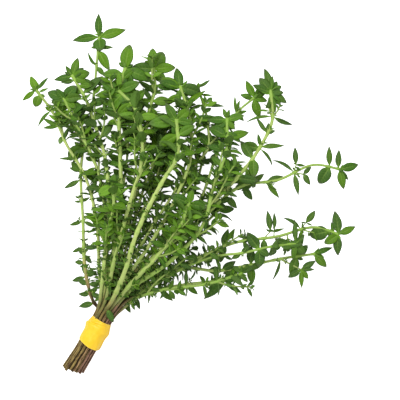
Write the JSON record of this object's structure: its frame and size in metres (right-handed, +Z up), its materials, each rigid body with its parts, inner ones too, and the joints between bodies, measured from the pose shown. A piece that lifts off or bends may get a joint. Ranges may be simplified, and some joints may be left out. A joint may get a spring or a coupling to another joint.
{
  "type": "thyme bundle",
  "caption": "Fresh thyme sprigs, gathered and held by a yellow tie near their cut ends, fanned out and lying on a flat surface.",
  "frame": {"origin": "middle of the flat under the tie, on the surface that the bunch lies on", "axes": "+Y from the cut ends to the tips, +X to the bunch's right side seen from above, +Z up"},
  "size_m": [0.1785, 0.1766, 0.0375],
  "materials": {
    "thyme_green": "matt green leaf and stem, brown at the cut ends",
    "yellow_tape": "satin yellow tape with fine wrinkles"
  },
  "bodies": {
    "root": {"sprig_01": "thyme_green", "sprig_02": "thyme_green", "sprig_03": "thyme_green", "sprig_04": "thyme_green", "sprig_05": "thyme_green", "sprig_06": "thyme_green", "sprig_07": "thyme_green", "sprig_08": "thyme_green", "sprig_09": "thyme_green", "sprig_10": "thyme_green", "sprig_11": "thyme_green", "sprig_12": "thyme_green", "sprig_13": "thyme_green", "sprig_14": "thyme_green", "sprig_15": "thyme_green", "sprig_16": "thyme_green", "sprig_17": "thyme_green", "sprig_18": "thyme_green", "sprig_19": "thyme_green", "sprig_20": "thyme_green", "sprig_21": "thyme_green", "sprig_22": "thyme_green", "sprig_23": "thyme_green", "sprig_24": "thyme_green", "sprig_25": "thyme_green", "sprig_26": "thyme_green", "sprig_27": "thyme_green", "tie_band": "yellow_tape"}
  },
  "joints": []
}
